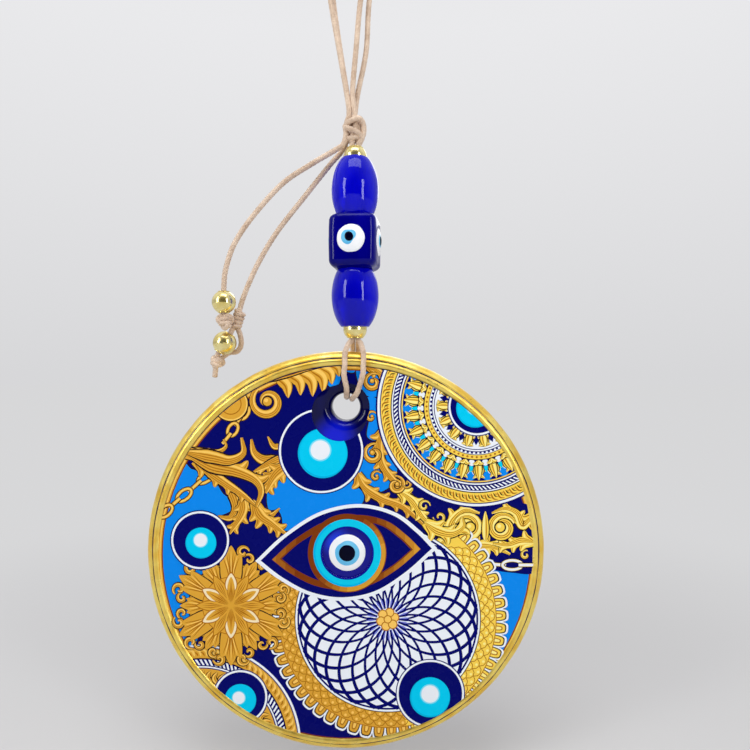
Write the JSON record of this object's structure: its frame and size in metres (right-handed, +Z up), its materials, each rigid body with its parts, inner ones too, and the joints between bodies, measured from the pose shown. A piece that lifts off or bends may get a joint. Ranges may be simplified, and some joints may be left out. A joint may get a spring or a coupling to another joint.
{
  "type": "evil eye ornament",
  "caption": "Round cobalt glass evil eye wall ornament with a printed face and gilded edge, hung by waxed cord from a bar of glass and gold beads with a knot, loop and tails.",
  "frame": {"origin": "middle of the disc's flat back", "axes": "+Z up towards the hanging loop, -Y towards the viewer out of the printed face, +X to the viewer's right"},
  "size_m": [0.1, 0.0142, 0.2401],
  "materials": {
    "cobalt_glass": "polished cast cobalt glass",
    "gilding": "bright hand-laid gilding, slightly uneven",
    "printed_film": "glossy print in navy, sky blue, cyan, white and gold",
    "white_glass": "opaque white glass",
    "light_blue_glass": "opaque light blue glass",
    "dark_glass": "opaque black glass",
    "cobalt_bead_glass": "clear cobalt glass, moulded",
    "opaque_cobalt_glass": "lampworked cobalt glass",
    "gold_bead": "bright gold wash",
    "waxed_cord": "waxed cotton, beige"
  },
  "bodies": {
    "loop": {"hanging_loop_outer": "waxed_cord", "hanging_loop_inner": "waxed_cord"},
    "knot": {"top_knot": "waxed_cord"},
    "bar": {"bar_cords": "waxed_cord"},
    "upper_gold": {"upper_gold_bead": "gold_bead"},
    "upper_oval": {"upper_oval_bead": "cobalt_bead_glass"},
    "cube": {"cube_bead": "opaque_cobalt_glass", "cube_eye_whites": "white_glass", "cube_eye_irises": "light_blue_glass", "cube_eye_pupils": "dark_glass"},
    "lower_oval": {"lower_oval_bead": "cobalt_bead_glass"},
    "lower_gold": {"lower_gold_bead": "gold_bead"},
    "neck": {"neck_cords": "waxed_cord"},
    "lower_loops": {"lower_loop_left": "waxed_cord", "lower_loop_right": "waxed_cord"},
    "disc": {"disc_glass": "cobalt_glass", "gilded_edge": "gilding", "printed_face": "printed_film", "eye_white": "white_glass", "eye_iris": "light_blue_glass", "eye_pupil": "dark_glass"},
    "outer_tail": {"outer_tail_cord": "waxed_cord"},
    "outer_tail_gold": {"outer_tail_bead": "gold_bead"},
    "inner_tail": {"inner_tail_cord": "waxed_cord"},
    "inner_tail_gold": {"inner_tail_bead": "gold_bead"}
  },
  "joints": [
    {"name": "loop_side_swing", "type": "hinge", "parent": "loop", "child": "knot", "pos_m": [0.00225, -0.0035, 0.1096], "axis": [0, 1, 0], "range_deg": [-35, 35]},
    {"name": "bar_front_swing", "type": "hinge", "parent": "knot", "child": "bar", "pos_m": [0.00225, -0.0035, 0.0995], "axis": [1, 0, 0], "range_deg": [-30, 30]},
    {"name": "upper_gold_spin", "type": "hinge", "parent": "bar", "child": "upper_gold", "pos_m": [0.00225, -0.0035, 0.0995], "axis": [0, 0, 1], "continuous": true},
    {"name": "upper_oval_spin", "type": "hinge", "parent": "bar", "child": "upper_oval", "pos_m": [0.00225, -0.0035, 0.091], "axis": [0, 0, 1], "continuous": true},
    {"name": "cube_spin", "type": "hinge", "parent": "bar", "child": "cube", "pos_m": [0.00225, -0.0035, 0.0776], "axis": [0, 0, 1], "continuous": true},
    {"name": "lower_oval_spin", "type": "hinge", "parent": "bar", "child": "lower_oval", "pos_m": [0.00225, -0.0035, 0.0642], "axis": [0, 0, 1], "continuous": true},
    {"name": "lower_gold_spin", "type": "hinge", "parent": "bar", "child": "lower_gold", "pos_m": [0.00225, -0.0035, 0.0557], "axis": [0, 0, 1], "continuous": true},
    {"name": "disc_twist", "type": "hinge", "parent": "bar", "child": "neck", "pos_m": [0.00225, -0.0035, 0.0557], "axis": [0, 0, 1], "range_deg": [-90, 90]},
    {"name": "disc_front_swing", "type": "hinge", "parent": "neck", "child": "lower_loops", "pos_m": [0.00225, -0.0035, 0.0557], "axis": [1, 0, 0], "range_deg": [-35, 35]},
    {"name": "disc_tilt", "type": "hinge", "parent": "lower_loops", "child": "disc", "pos_m": [0.0009, -0.0035, 0.0384], "axis": [0, 1, 0], "range_deg": [-8, 8]},
    {"name": "outer_tail_swing", "type": "hinge", "parent": "knot", "child": "outer_tail", "pos_m": [0.00225, -0.0035, 0.103], "axis": [0, 0, 1], "range_deg": [0, 50]},
    {"name": "inner_tail_swing", "type": "hinge", "parent": "knot", "child": "inner_tail", "pos_m": [0.00225, -0.0035, 0.102], "axis": [0, 0, 1], "range_deg": [-50, 0]},
    {"name": "outer_tail_bead_spin", "type": "hinge", "parent": "outer_tail", "child": "outer_tail_gold", "pos_m": [-0.03105, -0.00415, 0.0625], "axis": [0, 0, 1], "continuous": true},
    {"name": "inner_tail_bead_spin", "type": "hinge", "parent": "inner_tail", "child": "inner_tail_gold", "pos_m": [-0.0315, -0.00155, 0.0523], "axis": [0.5, 0, 0.866], "continuous": true}
  ]
}
